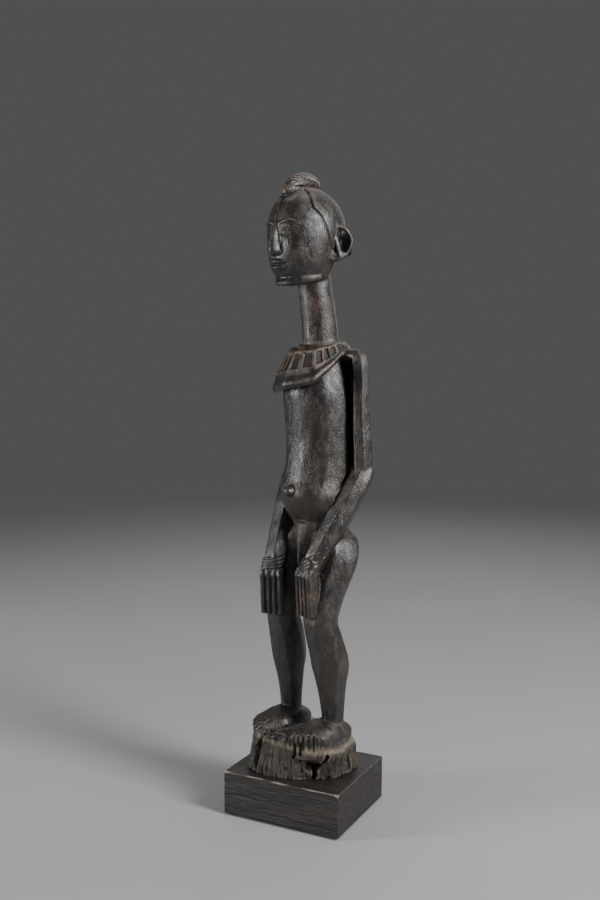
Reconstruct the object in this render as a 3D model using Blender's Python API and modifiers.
"""A standing ancestor figure, carved with its round plinth from one log, on a block base of dark wood.

The figure stands with its hands on its thighs. Two steel studs hold it: each is bonded into a blind hole under
the plinth, runs down through the block, and is drawn tight by a nut and a washer in a pocket under the block.
The block rests on four felt pads.

Metres, +Z up. The origin is on the ground under the middle of the block, whose front face looks along -Y.
The tables of the carving are in millimetres, in the figure's own frame: x to its left, y to its back, and z up
from the underside of the plinth.
"""

import bmesh
import bpy
import numpy as np
from math import cos, pi, radians, sin
from mathutils import Matrix, Vector

MM = 0.001
FIT_GAP = 0.3 * MM            # left between two pieces that touch

# The block base
BLOCK_WIDTH = 0.125           # along X
BLOCK_DEPTH = 0.109           # along Y
BLOCK_TOP = 0.0447            # above the ground
BLOCK_EDGE = 0.0007           # broken edges
PAD_RADIUS = 0.009
PAD_THICKNESS = 0.0012
PAD_INSET = 0.016             # from the block's sides to a pad's middle

# The fixing: M6 studs
STUD_RADIUS = 0.003
STUD_SPACING = 0.048          # between the two studs, along X
STUD_INTO_PLINTH = 0.022
STUD_END_CHAMFER = 0.0007
POCKET_RADIUS = 0.012
POCKET_DEPTH = 0.016
WASHER_RADIUS = 0.009
WASHER_THICKNESS = 0.0016
NUT_ACROSS_FLATS = 0.010
NUT_HEIGHT = 0.005
STUD_BELOW_NUT = 0.002

# The figure
FIGURE_TURN = radians(-20)    # the figure looks a little to its own right of the block's front
FIGURE_BASE = BLOCK_TOP + FIT_GAP
CARVING_VOXEL = 1.0 * MM      # the lofts are fused on a grid this fine
CARVING_SMOOTHING = 2
CARVING_DETAIL = 0.021        # share of the fused surface's faces that is kept

# Derived heights
BLOCK_BOTTOM = PAD_THICKNESS + FIT_GAP
POCKET_CEILING = BLOCK_BOTTOM + POCKET_DEPTH
WASHER_TOP = POCKET_CEILING - FIT_GAP
NUT_TOP = WASHER_TOP - WASHER_THICKNESS - FIT_GAP
STUD_BOTTOM = NUT_TOP - NUT_HEIGHT - STUD_BELOW_NUT
STUD_TOP = FIGURE_BASE + STUD_INTO_PLINTH
STUD_HOLE_RADIUS = STUD_RADIUS + FIT_GAP

# Lofts of the carving: each row is x, y, z of a section's middle, then its half width and half depth.
TORSO = (
    (0, 15, 226, 27, 20),
    (0, 13, 238, 29.5, 20),
    (0, 11, 247, 32, 22.5),
    (0, 8.5, 256, 33.7, 27.5),
    (0, 8, 266, 34.5, 31.5),
    (0, 9.5, 277, 34, 33.5),
    (0, 13, 292, 33, 32),
    (0, 15, 310, 32.3, 31.8),
    (0, 15, 332, 32, 32),
    (0, 13, 354, 31.8, 31.8),
    (0, 9.5, 376, 31, 31),
    (0, 9.5, 392, 29, 28),
    (0, 14, 406, 26, 23),
    (0, 17, 419, 22, 18),
)
NECK = (
    (0, 20, 411, 21, 20),
    (0, 18.5, 424, 18.6, 18.2),
    (0, 16.5, 440, 17.5, 17.5),
    (0, 12.5, 462, 16.8, 17),
    (0, 8.5, 484, 16.5, 16.8),
    (0, 5, 502, 16.5, 17),
)
SKULL = (
    (0, -8, 481.5, 14, 17),
    (0, -7.5, 486, 21.5, 25),
    (0, -7, 494, 26.5, 31),
    (0, -6, 506, 30.5, 35),
    (0, -4, 519, 33, 37.5),
    (0, -2.5, 531, 34, 39),
    (0, -1.5, 543, 33, 38),
    (0, -2, 554, 29, 33),
    (0, -3, 562, 23, 26),
    (0, -4, 568, 14.5, 17),
    (0, -4, 571, 6, 8),
)
CREST = (
    (0, -29.5, 563, 3, 2.5),
    (0, -26, 567.5, 6, 5),
    (0, -18, 572.5, 8, 8.3),
    (0, -8, 576, 8.5, 9),
    (0, 2, 576, 8, 8.4),
    (0, 9, 573.5, 6.5, 7),
    (0, 13.5, 570.5, 4, 4),
)
BEARD = (
    (0, -6, 490, 24, 6),
    (0, -16, 487.5, 22, 7.5),
    (0, -27, 484.5, 16, 6.6),
    (0, -34.5, 482, 10.5, 4.6),
    (0, -38.5, 481, 8, 2.6),
)
NOSE = (
    (0, -38, 537, 3, 4.5),
    (0, -39.5, 528, 3.4, 6),
    (0, -40.5, 518, 4.4, 7.5),
    (0, -41, 510, 6.6, 8.5),
    (0, -40, 505.5, 6, 6),
)
UPPER_LIP = ((12, -33.5, 498, 1, 1), (6, -38.5, 499.5, 3.4, 2.4), (-1, -40.5, 499.5, 4, 2.6))
LOWER_LIP = ((11, -33.5, 496, 1, 1), (5.5, -37.5, 494.5, 3.4, 2.6), (-1, -39.5, 494, 4, 2.8))
PUBIC_WEDGE = (
    (0, 4, 250, 12, 9),
    (0, 2, 243, 11, 8),
    (0, 0, 230, 7.5, 8),
    (0, -2, 218, 4.5, 7),
    (0, -4, 208, 2, 5),
    (0, -3, 203, 1, 2),
)
NAVEL = ((0, -14, 280, 9, 8), (0, -22, 279.5, 7, 6.5), (0, -27, 279, 5, 4.8), (0, -31, 279, 2.8, 2.6))
SHOULDERS = ((0, 22, 411, 10, 10), (22, 25, 412.5, 8, 9.5), (43, 27.5, 411, 7, 8.5))

# Lofts of the left side, which the right side mirrors.
LEG = (
    (12, 20, 246, 15, 16),
    (22, 18, 233, 21.5, 23),
    (25, 15, 219, 23.3, 25.5),
    (26, 11, 203, 22.5, 24),
    (26, 5, 186, 20.6, 21.3),
    (26.5, -1.5, 169, 18.2, 18.8),
    (27, -5.5, 153, 16.6, 16.4),
    (28, -1, 137, 16.6, 17.8),
    (29.5, 4, 118, 17, 19.2),
    (30, 6, 104, 16, 18.6),
    (30, 7, 88, 13.8, 15),
    (30.5, 8.5, 66, 11.6, 12),
    (30.5, 9, 50, 11, 11),
    (30.5, 8, 38, 13, 15),
)
FOOT = (
    (30.5, 26, 33, 7, 7),
    (30.5, 20, 35.5, 12, 11.5),
    (30.5, 8, 36.5, 13.6, 13.5),
    (30, -5, 36.5, 14.4, 12.6),
    (30, -15, 36.5, 13.8, 11),
    (29.8, -24, 36.5, 12, 9),
    (29.5, -30, 36.5, 9.8, 6.8),
    (29, -33, 36, 7, 4.5),
)
UPPER_ARM = (
    (41, 26.5, 415.5, 5, 6),
    (44, 27.5, 411, 6.8, 8),
    (45.5, 28, 401, 7.2, 8.3),
    (45.8, 28.5, 380, 7.2, 8.3),
    (45.8, 29, 350, 7.6, 8.8),
    (46.4, 30.5, 325, 8.3, 9.4),
    (46.8, 31.5, 302, 8.8, 10),
)
FOREARM = (
    (47.2, 34.5, 305, 7.6, 9),
    (46.7, 32.5, 299, 10, 11),
    (44.6, 25, 285, 11.2, 11.8),
    (39.7, 13, 264, 11.3, 11.6),
    (34, 0, 241, 11, 11),
    (28.8, -11.5, 221, 10.6, 9.8),
    (26.4, -16.5, 210, 10.2, 8.6),
)
PALM = (
    (26, -16.5, 216, 10, 8),
    (25, -18.5, 207, 11.6, 8.4),
    (24.4, -18.5, 198, 12, 7),
    (24, -17.5, 182, 12, 5),
    (23.8, -17, 163, 11.6, 4),
)
FINGER = ((0, -21, 207, 2.6, 3), (0, -24.2, 202, 3.1, 3.6), (0, -24, 184, 2.9, 3.4), (0, -23, 161, 2.7, 3.2))
FINGERS = 4
FINGER_PITCH = 6.1
FINGER_LENGTHENING = (0.6, 1.6, 1.8, 0)   # how far each fingertip drops below the first
HAND_MIDDLE = 24
# The right forearm bends to a hand that sits further out, further forward and lower than the left one.
RIGHT_HAND_SHIFT = (1, -1.6, -6)
EYE = (
    (6, -38.6, 525.5, 1, 1),
    (10.5, -38.3, 526, 2.6, 3.2),
    (16, -35.2, 526, 2.6, 3.2),
    (21, -31, 525, 1, 1),
)
BROW = (
    (1, -40.5, 533.5, 1.8, 1.8),
    (9, -39.8, 536.5, 2.2, 2.2),
    (18, -35, 536, 2.2, 2.2),
    (26, -27, 532, 1, 1),
)
EAR_RIM = (
    (28, 2, 537),
    (34, 9, 538.5),
    (39, 16, 534),
    (41.5, 20, 524),
    (39.5, 17, 513),
    (34, 9, 507),
    (28, 1, 507),
)
EAR_RIM_RADIUS = 2.6
EAR_FLAP = ((28, 5, 521, 9, 1.5), (33, 12, 522, 13, 1.5), (38, 17.5, 523, 11, 1.5), (40.5, 20, 523, 6, 1.5))

# Closed rings of the collar, from the neck out to the rim and back under it: points of the left half, front
# to back, in x, y, z.
COLLAR_NECK = ((0, 0, 422), (15, 5, 423), (18.5, 18, 426), (14, 31, 428), (0, 36, 428))
COLLAR_INNER = ((0, -9, 419.5), (18, -3, 420.5), (26, 18, 425), (18, 37, 427), (0, 43, 427))
COLLAR_CROWN = ((0, -19, 411.5), (23, -11, 412.5), (32, 8, 418.5), (31, 26, 423.5), (19, 40, 425), (0, 45, 425))
COLLAR_MIDDLE = ((0, -24, 400.5), (26.5, -15, 401.5), (34.5, 5, 411), (34, 25, 420), (20, 42, 423), (0, 47, 423))
COLLAR_RIM = ((0, -30, 386), (28.5, -18.5, 387), (37.5, 3, 405), (37, 25, 418), (22, 44, 420), (0, 49, 420))
COLLAR_LIP = ((0, -31.5, 382), (30, -20, 383), (39, 3, 401), (38, 26, 414.5), (22, 46, 416), (0, 51, 416))
COLLAR_UNDER = ((0, -29, 379.5), (28, -18, 380.5), (36.5, 3, 398.5), (35, 25, 411), (21, 43, 413), (0, 48, 413))
COLLAR_ROOT = ((0, -16, 384), (20, -9, 385), (26, 6, 400), (26, 22, 406), (16, 33, 408), (0, 36, 408))
COLLAR_RINGS = (
    COLLAR_NECK, COLLAR_INNER, COLLAR_CROWN, COLLAR_MIDDLE, COLLAR_RIM, COLLAR_LIP, COLLAR_UNDER, COLLAR_ROOT,
)
COLLAR_PIVOT = Vector((0, 10, 384))
COLLAR_ROLL = radians(-8)     # the collar hangs lower on the figure's right

# The plinth, in the block's directions: at bearings from the front towards +X, its reach at the foot and at
# the top. Weather has worn it unevenly.
PLINTH_OUTLINE = (
    (-140, 52, 50),
    (-100, 54, 52),
    (-70, 56, 54),
    (-50, 57, 54),
    (-35, 54.5, 49.5),
    (-20, 50, 45),
    (-5, 45, 42),
    (10, 43, 43),
    (24, 41.5, 46.5),
    (38, 41, 49.5),
    (52, 45, 52.5),
    (66, 47.5, 54),
    (82, 48.5, 52.5),
    (96, 51.5, 51.5),
    (112, 54, 53),
    (150, 52, 50),
    (185, 49, 48),
)
# Heights with how far the outline has changed from the foot's to the top's, and its share of that outline.
PLINTH_LEVELS = (
    (-2, 0, 1.0),
    (8, 0.1, 1.0),
    (18, 0.6, 0.99),
    (26, 0.95, 0.985),
    (30, 1, 0.96),
    (31.8, 1, 0.9),
    (32.4, 1, 0.7),
    (32.4, 1, 0.3),
)
PLINTH_TOP_SLOPE = 0.08       # the plinth is lower towards +X
# Cracks that weather has opened in the plinth: bearing in degrees, foot and head height, width, depth.
PLINTH_CRACKS = (
    (-47, 3, 29, 3.4, 8),
    (2, 20, 40, 2.4, 11),
    (14, 24, 40, 2.2, 8),
    (39, -4, 17, 6, 10),
    (94, 4, 25, 2.4, 8),
    (150, -4, 24, 2.8, 10),
    (205, 6, 34, 2.4, 9),
)


def clear_scene():
    for obj in list(bpy.data.objects):
        bpy.data.objects.remove(obj, do_unlink=True)


def make_collection(name):
    collection = bpy.data.collections.new(name)
    bpy.context.scene.collection.children.link(collection)
    return collection


def make_material(name, colour, roughness, metallic=0.0):
    material = bpy.data.materials.new(name)
    material.use_nodes = True
    shader = material.node_tree.nodes["Principled BSDF"]
    shader.inputs["Base Color"].default_value = (*colour, 1.0)
    shader.inputs["Roughness"].default_value = roughness
    shader.inputs["Metallic"].default_value = metallic
    return material


def make_object(name, bm, collection, material=None):
    """An object of this collection from a bmesh, which it frees."""
    mesh = bpy.data.meshes.new(name)
    bm.to_mesh(mesh)
    bm.free()
    obj = bpy.data.objects.new(name, mesh)
    collection.objects.link(obj)
    if material:
        mesh.materials.append(material)
    return obj


def make_cutter(name, bm, collection):
    obj = make_object(name, bm, collection)
    obj.hide_render = True
    obj.display_type = "WIRE"
    return obj


def cut(obj, cutter):
    modifier = obj.modifiers.new("Cut_" + cutter.name, "BOOLEAN")
    modifier.object = cutter
    modifier.operation = "DIFFERENCE"


def cylinder(radius, bottom, top, x=0.0, y=0.0, sides=48):
    """A bmesh holding an upright cylinder."""
    bm = bmesh.new()
    place = Matrix.Translation((x, y, (bottom + top) / 2))
    bmesh.ops.create_cone(
        bm, cap_ends=True, segments=sides, radius1=radius, radius2=radius, depth=top - bottom, matrix=place
    )
    return bm


def box(low, high):
    """A bmesh holding a box between two corners."""
    low, high = Vector(low), Vector(high)
    bm = bmesh.new()
    place = Matrix.Translation((low + high) / 2) @ Matrix.Diagonal((*(high - low), 1.0))
    bmesh.ops.create_cube(bm, size=1.0, matrix=place)
    return bm


# The carving's shapes

def smooth_rows(rows, steps, closed=False):
    """The rows of a table with steps - 1 more between each two, on a Catmull-Rom curve through them all."""
    rows = np.array(rows, float)
    count = len(rows)
    spans = count if closed else count - 1
    found = []
    for i in range(spans):
        around = np.arange(i - 1, i + 3)
        a, b, c, d = rows[around % count if closed else around.clip(0, count - 1)]
        for k in range(steps):
            t = k / steps
            square = (2 * a - 5 * b + 4 * c - d) * t**2
            cube = (3 * b - a - 3 * c + d) * t**3
            found.append(0.5 * (2 * b + (c - a) * t + square + cube))
    if not closed:
        found.append(rows[-1])
    return np.array(found)


def skin(bm, rings):
    """Faces between closed rings of points, and a cap on each end."""
    levels = [[bm.verts.new(point) for point in ring] for ring in rings]
    count = len(levels[0])
    for low, high in zip(levels, levels[1:]):
        for i in range(count):
            j = (i + 1) % count
            bm.faces.new((low[i], low[j], high[j], high[i]))
    bm.faces.new(reversed(levels[0]))
    bm.faces.new(levels[-1])


def loft(bm, rows, place, mirror=1, level=False, across=(1, 0, 0), power=2.0, sides=32, steps=4):
    """A rounded limb through a table of sections. Each section is square to the limb, or lies level."""
    path = smooth_rows(rows, steps)
    path[:, 0] *= mirror
    along = np.gradient(path[:, :3], axis=0)
    rings = []
    for (x, y, z, half_width, half_depth), way in zip(path, along):
        forward = Vector((0, 0, 1)) if level else Vector(way).normalized()
        side = Vector(across) - forward * Vector(across).dot(forward)
        side.normalize()
        front = forward.cross(side)
        ring = []
        for k in range(sides):
            angle = 2 * pi * k / sides
            c, s = cos(angle), sin(angle)
            u = np.sign(c) * abs(c) ** (2 / power) * half_width
            v = np.sign(s) * abs(s) ** (2 / power) * half_depth
            ring.append(place @ (Vector((x, y, z)) + side * u + front * v))
        rings.append(ring)
    skin(bm, rings)


def collar(bm, place, sides_per_span=6):
    """The collar: a cape from the neck to a rolled rim, between closed rings that mirror their left half."""
    pivot = Matrix.Translation(COLLAR_PIVOT)
    roll = pivot @ Matrix.Rotation(COLLAR_ROLL, 4, "Y") @ pivot.inverted()
    count = 2 * sides_per_span * (len(COLLAR_RIM) - 1)
    rings = []
    for half in COLLAR_RINGS:
        back = [(-x, y, z) for x, y, z in reversed(half[1:-1])]
        outline = smooth_rows(list(half) + back, 12, closed=True)
        picks = np.linspace(0, len(outline), count, endpoint=False).astype(int)
        rings.append([place @ roll @ Vector(outline[i]) for i in picks])
    skin(bm, rings)


def ear(bm, place, mirror):
    """A flaring ear: a round rim in the shape of a C, closed behind by a thin flap."""
    rim = [(x, y, z, EAR_RIM_RADIUS, EAR_RIM_RADIUS) for x, y, z in EAR_RIM]
    loft(bm, rim, place, mirror, across=(0.6, -0.8, 0), sides=12)
    loft(bm, EAR_FLAP, place, mirror, across=(0, 0, 1), sides=20)


def hand(bm, place, mirror):
    loft(bm, PALM, place, mirror, power=2.6)
    for number in range(FINGERS):
        x = HAND_MIDDLE + (number - (FINGERS - 1) / 2) * FINGER_PITCH
        rows = [(x, y, z, w, d) for _, y, z, w, d in FINGER]
        x, y, z, w, d = rows[-1]
        rows[-1] = (x, y, z - FINGER_LENGTHENING[number], w, d)
        loft(bm, rows, place, mirror, power=2.6, sides=12)


def limbs(bm, place, mirror, shift):
    """One leg, foot and arm. The shift moves the hand outwards, back and up, and bends the forearm to it."""
    out, back, up = shift
    loft(bm, LEG, place, mirror, level=True)
    loft(bm, FOOT, place, mirror, power=2.5)
    loft(bm, UPPER_ARM, place, mirror, power=2.6)
    reach = FOREARM[0][2] - FOREARM[-1][2]
    forearm = []
    for x, y, z, half_width, half_depth in FOREARM:
        share = (FOREARM[0][2] - z) / reach
        forearm.append((x + share * out, y + share * back, z + share * up, half_width, half_depth))
    loft(bm, forearm, place, mirror, power=2.3)
    hand(bm, place @ Matrix.Translation((mirror * out, back, up)), mirror)


def head(bm, place):
    loft(bm, SKULL, place, level=True, power=2.1)
    loft(bm, CREST, place, sides=24)
    loft(bm, BEARD, place, power=3.2, sides=24)
    loft(bm, NOSE, place, level=True, power=1.8, sides=20)
    for mirror in (1, -1):
        loft(bm, UPPER_LIP, place, mirror, across=(0, 1, 0), sides=12)
        loft(bm, LOWER_LIP, place, mirror, across=(0, 1, 0), sides=12)
        loft(bm, EYE, place, mirror, across=(0, 1, 0), sides=12)
        loft(bm, BROW, place, mirror, across=(0, 1, 0), sides=12)
        ear(bm, place, mirror)


def plinth_reach(bearing, change):
    """The plinth's reach at a bearing in degrees, where its outline has changed this far to the top's."""
    bearings, foot, top = np.array(PLINTH_OUTLINE, float).T
    reach = foot + change * (top - foot)
    return np.interp(bearing, bearings, reach, period=360)


def plinth(bm, place, sides=72):
    rings = []
    for height, change, share in smooth_rows(PLINTH_LEVELS, 2):
        ring = []
        for k in range(sides):
            bearing = 360 * k / sides
            reach = share * plinth_reach(bearing, change)
            x, y = reach * sin(radians(bearing)), -reach * cos(radians(bearing))
            ring.append(place @ Vector((x, y, height - max(height, 0) / 32 * PLINTH_TOP_SLOPE * x)))
        rings.append(ring)
    skin(bm, rings)


def plinth_crack(bearing, foot, top, width, depth):
    """A bmesh holding a wedge that opens outwards, where the plinth is cracked."""
    reach = plinth_reach(bearing, 0.5)
    turn = Matrix.Rotation(radians(bearing), 4, "Z")
    bm = bmesh.new()
    corners = (
        (-width / 2, -reach - 6), (width / 2, -reach - 6), (width / 2, -reach), (width / 8, depth - reach),
        (-width / 8, depth - reach), (-width / 2, -reach),
    )
    rings = [[turn @ Vector((x, y, z)) for x, y in corners] for z in (foot, (foot + top) / 2, top)]
    rings[1] = [point + turn @ Vector((width * 0.2, 0, 0)) for point in rings[1]]
    skin(bm, rings)
    bmesh.ops.recalc_face_normals(bm, faces=bm.faces)
    return bm


# The pieces

def carved_figure(collection, cutters, material):
    """The figure and its plinth: lofts fused to one solid, flat below, with two blind holes for the studs."""
    stand = Matrix.Translation((0, 0, FIGURE_BASE)) @ Matrix.Scale(MM, 4)
    place = stand @ Matrix.Rotation(FIGURE_TURN, 4, "Z")
    bm = bmesh.new()
    loft(bm, TORSO, place, level=True)
    loft(bm, NECK, place)
    loft(bm, NAVEL, place)
    loft(bm, PUBIC_WEDGE, place, level=True, power=1.6)
    collar(bm, place)
    head(bm, place)
    for mirror, shift in ((1, (0, 0, 0)), (-1, RIGHT_HAND_SHIFT)):
        limbs(bm, place, mirror, shift)
        loft(bm, SHOULDERS, place, mirror, across=(0, 0, 1))
    plinth(bm, stand)
    bmesh.ops.recalc_face_normals(bm, faces=bm.faces)
    figure = make_object("carved_figure", bm, collection, material)

    fuse = figure.modifiers.new("Fuse", "REMESH")
    fuse.mode = "VOXEL"
    fuse.voxel_size = CARVING_VOXEL
    soften = figure.modifiers.new("Soften", "SMOOTH")
    soften.iterations = CARVING_SMOOTHING
    thin = figure.modifiers.new("Thin", "DECIMATE")
    thin.ratio = CARVING_DETAIL
    for number, (bearing, foot, top, width, depth) in enumerate(PLINTH_CRACKS, 1):
        bm = plinth_crack(bearing, foot, top, width, depth)
        bm.transform(stand)
        cut(figure, make_cutter(f"crack_{number}", bm, cutters))
    reach = BLOCK_WIDTH
    slab = box((-reach, -reach, BLOCK_TOP - 20 * MM), (reach, reach, FIGURE_BASE))
    cut(figure, make_cutter("plinth_underside", slab, cutters))
    for side, x in stud_places():
        hole = cylinder(STUD_HOLE_RADIUS, BLOCK_TOP - 5 * MM, STUD_TOP + FIT_GAP, x, sides=24)
        cut(figure, make_cutter("figure_hole_" + side, hole, cutters))
    return figure


def stud_places():
    """The name and x of each stud. Left and right are the figure's own."""
    return (("left", STUD_SPACING / 2), ("right", -STUD_SPACING / 2))


def display_block(collection, cutters, material):
    low = (-BLOCK_WIDTH / 2, -BLOCK_DEPTH / 2, BLOCK_BOTTOM)
    high = (BLOCK_WIDTH / 2, BLOCK_DEPTH / 2, BLOCK_TOP)
    block = make_object("display_block", box(low, high), collection, material)
    edges = block.modifiers.new("Edges", "BEVEL")
    edges.width = BLOCK_EDGE
    edges.segments = 2
    for side, x in stud_places():
        hole = cylinder(STUD_HOLE_RADIUS, 0, BLOCK_TOP + 5 * MM, x, sides=24)
        cut(block, make_cutter("block_hole_" + side, hole, cutters))
        pocket = cylinder(POCKET_RADIUS, -5 * MM, POCKET_CEILING, x)
        cut(block, make_cutter("block_pocket_" + side, pocket, cutters))
    return block


def stud(side, x, collection, material):
    bm = cylinder(STUD_RADIUS, STUD_BOTTOM, STUD_TOP, x, sides=24)
    rod = make_object("stud_" + side, bm, collection, material)
    ends = rod.modifiers.new("Ends", "BEVEL")
    ends.width = STUD_END_CHAMFER
    ends.segments = 1
    return rod


def washer(side, x, collection, cutters, material):
    bm = cylinder(WASHER_RADIUS, WASHER_TOP - WASHER_THICKNESS, WASHER_TOP, x)
    ring = make_object("washer_" + side, bm, collection, material)
    hole = cylinder(STUD_HOLE_RADIUS, WASHER_TOP - 5 * MM, WASHER_TOP + 5 * MM, x, sides=24)
    cut(ring, make_cutter("washer_hole_" + side, hole, cutters))
    return ring


def nut(side, x, collection, cutters, material):
    """A hexagon nut with its corners turned off below."""
    corner = NUT_ACROSS_FLATS / 2 / cos(pi / 6)
    bm = cylinder(corner, NUT_TOP - NUT_HEIGHT, NUT_TOP, x, sides=6)
    hexagon = make_object("nut_" + side, bm, collection, material)
    bm = bmesh.new()
    place = Matrix.Translation((x, 0, NUT_TOP - NUT_HEIGHT / 2))
    turned = NUT_ACROSS_FLATS / 2
    depth = NUT_HEIGHT + 2 * MM
    bmesh.ops.create_cone(
        bm, cap_ends=True, segments=36, radius1=turned, radius2=turned + 2 * depth, depth=depth, matrix=place
    )
    chamfer = make_cutter("nut_chamfer_" + side, bm, cutters)
    turn_down = hexagon.modifiers.new("Chamfer", "BOOLEAN")
    turn_down.object = chamfer
    turn_down.operation = "INTERSECT"
    hole = cylinder(STUD_HOLE_RADIUS, NUT_TOP - 10 * MM, NUT_TOP + 5 * MM, x, sides=24)
    cut(hexagon, make_cutter("nut_hole_" + side, hole, cutters))
    return hexagon


def felt_pads(collection, material):
    pads = []
    for depth_name, y_side in (("front", -1), ("rear", 1)):
        for side, x_side in (("left", 1), ("right", -1)):
            x = x_side * (BLOCK_WIDTH / 2 - PAD_INSET)
            y = y_side * (BLOCK_DEPTH / 2 - PAD_INSET)
            bm = cylinder(PAD_RADIUS, 0, PAD_THICKNESS, x, y)
            pads.append(make_object(f"felt_pad_{depth_name}_{side}", bm, collection, material))
    return pads


def shade_smooth(obj, angle):
    obj.data.shade_smooth()
    obj.data.set_sharp_from_angle(angle=radians(angle))


def main():
    clear_scene()
    parts = make_collection("ancestor_figure")
    cutters = make_collection("cutters")
    carving_wood = make_material("carving_wood", (0.032, 0.024, 0.018), 0.42)
    block_wood = make_material("block_wood", (0.022, 0.018, 0.015), 0.55)
    steel = make_material("steel", (0.55, 0.55, 0.54), 0.35, 1.0)
    felt = make_material("felt", (0.03, 0.03, 0.032), 0.95)

    shade_smooth(carved_figure(parts, cutters, carving_wood), 50)
    display_block(parts, cutters, block_wood)
    for side, x in stud_places():
        shade_smooth(stud(side, x, parts, steel), 40)
        shade_smooth(washer(side, x, parts, cutters, steel), 40)
        nut(side, x, parts, cutters, steel)
    for pad in felt_pads(parts, felt):
        shade_smooth(pad, 40)


main()
